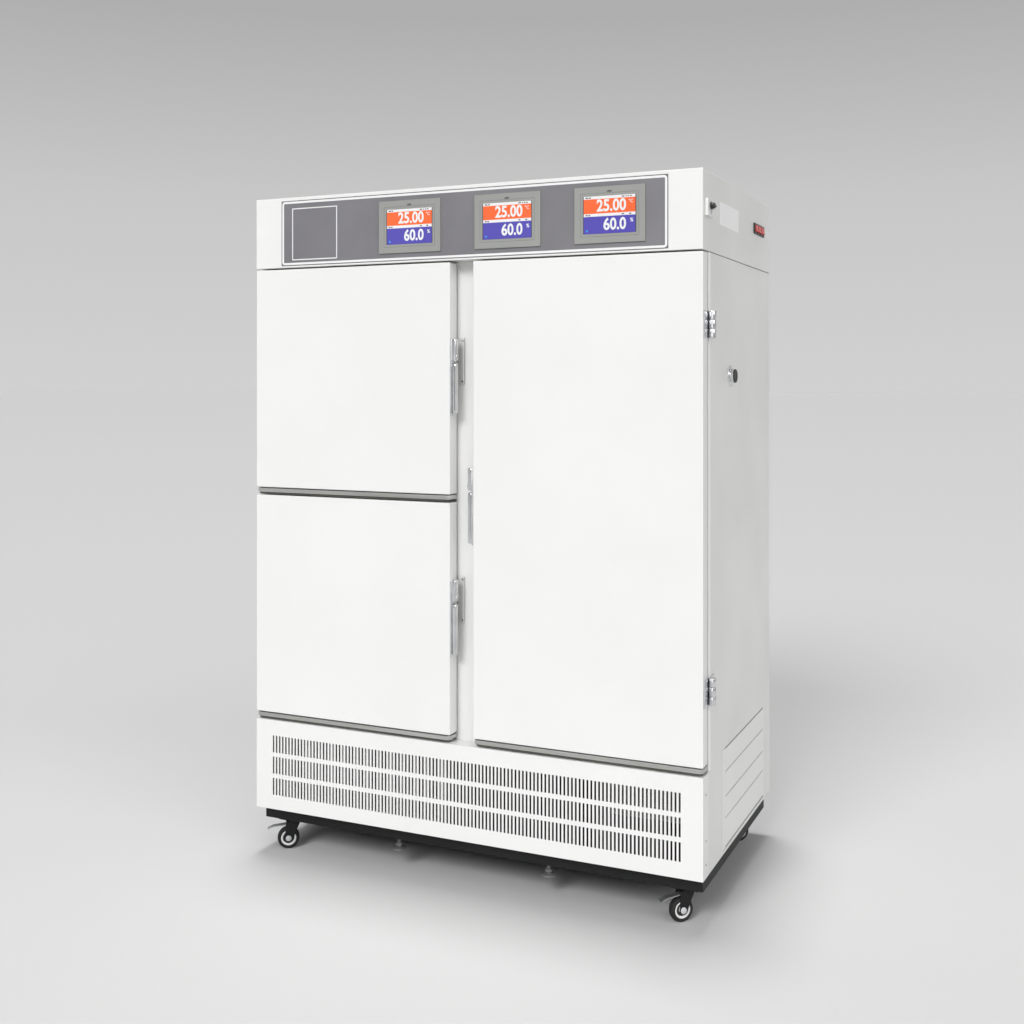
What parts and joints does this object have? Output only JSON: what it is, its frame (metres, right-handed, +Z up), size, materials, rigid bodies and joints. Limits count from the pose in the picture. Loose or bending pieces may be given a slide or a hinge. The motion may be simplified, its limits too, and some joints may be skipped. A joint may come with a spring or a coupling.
{
  "type": "environmental test chamber",
  "caption": "Floor-standing environmental test chamber with separate insulated chambers behind latched doors, touch controllers in the header and a slotted machine compartment on casters.",
  "frame": {"origin": "centre of the bounding box's footprint, on the floor under the casters", "axes": "+X to the right seen from the front, +Y to the back, +Z up; the doors and controllers face -Y"},
  "size_m": [1.401, 0.772, 1.933],
  "materials": {
    "white_paint": "gloss",
    "black_paint": "satin",
    "galvanised": "satin",
    "stainless": "satin",
    "door_skin": "gloss",
    "door_pan": "satin",
    "chrome": "polished",
    "foam": "matte",
    "gasket": "matte",
    "fascia": "satin",
    "bezel": "satin",
    "screen": "gloss",
    "black_plastic": "satin",
    "red_plastic": "gloss",
    "white_plastic": "satin",
    "aluminium": "satin",
    "compressor_black": "satin",
    "electronics": "matte",
    "silicone": "matte",
    "tyre": "matte"
  },
  "bodies": {
    "cabinet": {"base_frame": "black_paint", "outer_shell": "white_paint", "front_frame": "white_paint", "liner_upper_left": "stainless", "liner_lower_left": "stainless", "liner_right": "stainless", "insulation": "foam", "shelves": "stainless", "duct_covers": "stainless", "air_coils": "aluminium", "fan_motors": "galvanised", "port_sleeves": "chrome", "compressors": "compressor_black", "condenser": "aluminium", "water_tank": "white_plastic", "front_grille": "white_paint", "header_housing": "white_paint", "electronics": "electronics", "fascia_panel": "fascia", "controller_bezels": "bezel", "controller_screens": "screen", "switch_housing": "black_plastic", "cabinet_hardware": "chrome"},
    "door_upper_left": {"door_upper_left": "door_skin", "door_pan_upper_left": "door_pan", "door_gasket_upper_left": "gasket", "door_hardware_upper_left": "chrome"},
    "lever_upper_left": {"lever_upper_left": "chrome"},
    "port_plug_upper_left": {"port_plug_upper_left": "silicone"},
    "fan_upper_left": {"fan_upper_left": "aluminium"},
    "door_lower_left": {"door_lower_left": "door_skin", "door_pan_lower_left": "door_pan", "door_gasket_lower_left": "gasket", "door_hardware_lower_left": "chrome"},
    "lever_lower_left": {"lever_lower_left": "chrome"},
    "port_plug_lower_left": {"port_plug_lower_left": "silicone"},
    "fan_lower_left": {"fan_lower_left": "aluminium"},
    "door_right": {"door_right": "door_skin", "door_pan_right": "door_pan", "door_gasket_right": "gasket", "door_hardware_right": "chrome"},
    "lever_right": {"lever_right": "chrome"},
    "port_plug_right": {"port_plug_right": "silicone"},
    "fan_right": {"fan_right": "aluminium"},
    "fan_condenser": {"fan_condenser": "black_plastic"},
    "rocker_front": {"rocker_front": "red_plastic"},
    "rocker_middle": {"rocker_middle": "red_plastic"},
    "rocker_rear": {"rocker_rear": "red_plastic"},
    "limiter_knob": {"limiter_knob": "black_plastic"},
    "caster_fork_front_left": {"caster_fork_front_left": "black_paint"},
    "caster_wheel_front_left": {"caster_wheel_front_left": "tyre"},
    "brake_pedal_front_left": {"brake_pedal_front_left": "galvanised"},
    "caster_fork_front_right": {"caster_fork_front_right": "black_paint"},
    "caster_wheel_front_right": {"caster_wheel_front_right": "tyre"},
    "brake_pedal_front_right": {"brake_pedal_front_right": "galvanised"},
    "caster_fork_rear_left": {"caster_fork_rear_left": "black_paint"},
    "caster_wheel_rear_left": {"caster_wheel_rear_left": "tyre"},
    "caster_fork_rear_right": {"caster_fork_rear_right": "black_paint"},
    "caster_wheel_rear_right": {"caster_wheel_rear_right": "tyre"},
    "levelling_feet": {"levelling_feet": "galvanised"}
  },
  "joints": [
    {"name": "door_upper_left_hinge", "type": "hinge", "parent": "cabinet", "child": "door_upper_left", "pos_m": [-0.691, -0.33, 1.3925], "axis": [0, 0, -1], "range_deg": [0, 115]},
    {"name": "lever_upper_left_pivot", "type": "hinge", "parent": "door_upper_left", "child": "lever_upper_left", "pos_m": [-0.0245, -0.3695, 1.4366], "axis": [-1, 0, 0], "range_deg": [0, 45]},
    {"name": "port_plug_upper_left_pull", "type": "slide", "parent": "cabinet", "child": "port_plug_upper_left", "axis": [-1, 0, 0], "range_m": [0, 0.06]},
    {"name": "fan_upper_left_spin", "type": "hinge", "parent": "cabinet", "child": "fan_upper_left", "pos_m": [-0.35275, 0.2, 1.537], "axis": [0, 1, 0], "continuous": true},
    {"name": "door_lower_left_hinge", "type": "hinge", "parent": "cabinet", "child": "door_lower_left", "pos_m": [-0.691, -0.33, 0.7285], "axis": [0, 0, -1], "range_deg": [0, 115]},
    {"name": "lever_lower_left_pivot", "type": "hinge", "parent": "door_lower_left", "child": "lever_lower_left", "pos_m": [-0.0245, -0.3695, 0.7726], "axis": [-1, 0, 0], "range_deg": [0, 45]},
    {"name": "port_plug_lower_left_pull", "type": "slide", "parent": "cabinet", "child": "port_plug_lower_left", "axis": [-1, 0, 0], "range_m": [0, 0.06]},
    {"name": "fan_lower_left_spin", "type": "hinge", "parent": "cabinet", "child": "fan_lower_left", "pos_m": [-0.35275, 0.2, 0.873], "axis": [0, 1, 0], "continuous": true},
    {"name": "door_right_hinge", "type": "hinge", "parent": "cabinet", "child": "door_right", "pos_m": [0.691, -0.33, 1.0605], "axis": [0, 0, 1], "range_deg": [0, 115]},
    {"name": "lever_right_pivot", "type": "hinge", "parent": "door_right", "child": "lever_right", "pos_m": [0.0245, -0.3695, 1.0822], "axis": [-1, 0, 0], "range_deg": [0, 45]},
    {"name": "port_plug_right_pull", "type": "slide", "parent": "cabinet", "child": "port_plug_right", "axis": [1, 0, 0], "range_m": [0, 0.06]},
    {"name": "fan_right_spin", "type": "hinge", "parent": "cabinet", "child": "fan_right", "pos_m": [0.35275, 0.2, 0.873], "axis": [0, 1, 0], "continuous": true},
    {"name": "fan_condenser_spin", "type": "hinge", "parent": "cabinet", "child": "fan_condenser", "pos_m": [-0.33, -0.2, 0.258], "axis": [0, 1, 0], "continuous": true},
    {"name": "rocker_front_press", "type": "hinge", "parent": "cabinet", "child": "rocker_front", "pos_m": [0.681, 0.192, 1.843], "axis": [0, 1, 0], "range_deg": [0, 16]},
    {"name": "rocker_middle_press", "type": "hinge", "parent": "cabinet", "child": "rocker_middle", "pos_m": [0.681, 0.23, 1.843], "axis": [0, 1, 0], "range_deg": [0, 16]},
    {"name": "rocker_rear_press", "type": "hinge", "parent": "cabinet", "child": "rocker_rear", "pos_m": [0.681, 0.268, 1.843], "axis": [0, 1, 0], "range_deg": [0, 16]},
    {"name": "limiter_knob_turn", "type": "hinge", "parent": "cabinet", "child": "limiter_knob", "pos_m": [0.69, -0.337, 1.841], "axis": [1, 0, 0], "range_deg": [0, 270]},
    {"name": "caster_front_left_swivel", "type": "hinge", "parent": "cabinet", "child": "caster_fork_front_left", "pos_m": [-0.59, -0.306, 0.08], "axis": [0, 0, 1], "continuous": true},
    {"name": "caster_front_left_roll", "type": "hinge", "parent": "caster_fork_front_left", "child": "caster_wheel_front_left", "pos_m": [-0.60802, -0.31862, 0.0325], "axis": [0.5736, -0.8192, 0], "continuous": true},
    {"name": "brake_pedal_front_left_press", "type": "hinge", "parent": "caster_fork_front_left", "child": "brake_pedal_front_left", "pos_m": [-0.58672, -0.30371, 0.072], "axis": [0.5736, -0.8192, 0], "range_deg": [0, 8]},
    {"name": "caster_front_right_swivel", "type": "hinge", "parent": "cabinet", "child": "caster_fork_front_right", "pos_m": [0.62, -0.306, 0.08], "axis": [0, 0, 1], "continuous": true},
    {"name": "caster_front_right_roll", "type": "hinge", "parent": "caster_fork_front_right", "child": "caster_wheel_front_right", "pos_m": [0.605, -0.32209, 0.0325], "axis": [0.7314, -0.682, 0], "continuous": true},
    {"name": "brake_pedal_front_right_press", "type": "hinge", "parent": "caster_fork_front_right", "child": "brake_pedal_front_right", "pos_m": [0.62273, -0.30307, 0.072], "axis": [0.7314, -0.682, 0], "range_deg": [0, 8]},
    {"name": "caster_rear_left_swivel", "type": "hinge", "parent": "cabinet", "child": "caster_fork_rear_left", "pos_m": [-0.59, 0.306, 0.08], "axis": [0, 0, 1], "continuous": true},
    {"name": "caster_rear_left_roll", "type": "hinge", "parent": "caster_fork_rear_left", "child": "caster_wheel_rear_left", "pos_m": [-0.60802, 0.29338, 0.0325], "axis": [0.5736, -0.8192, 0], "continuous": true},
    {"name": "caster_rear_right_swivel", "type": "hinge", "parent": "cabinet", "child": "caster_fork_rear_right", "pos_m": [0.62, 0.306, 0.08], "axis": [0, 0, 1], "continuous": true},
    {"name": "caster_rear_right_roll", "type": "hinge", "parent": "caster_fork_rear_right", "child": "caster_wheel_rear_right", "pos_m": [0.605, 0.28991, 0.0325], "axis": [0.7314, -0.682, 0], "continuous": true},
    {"name": "levelling_feet_drop", "type": "slide", "parent": "cabinet", "child": "levelling_feet", "axis": [0, 0, -1], "range_m": [0, 0.05]}
  ]
}
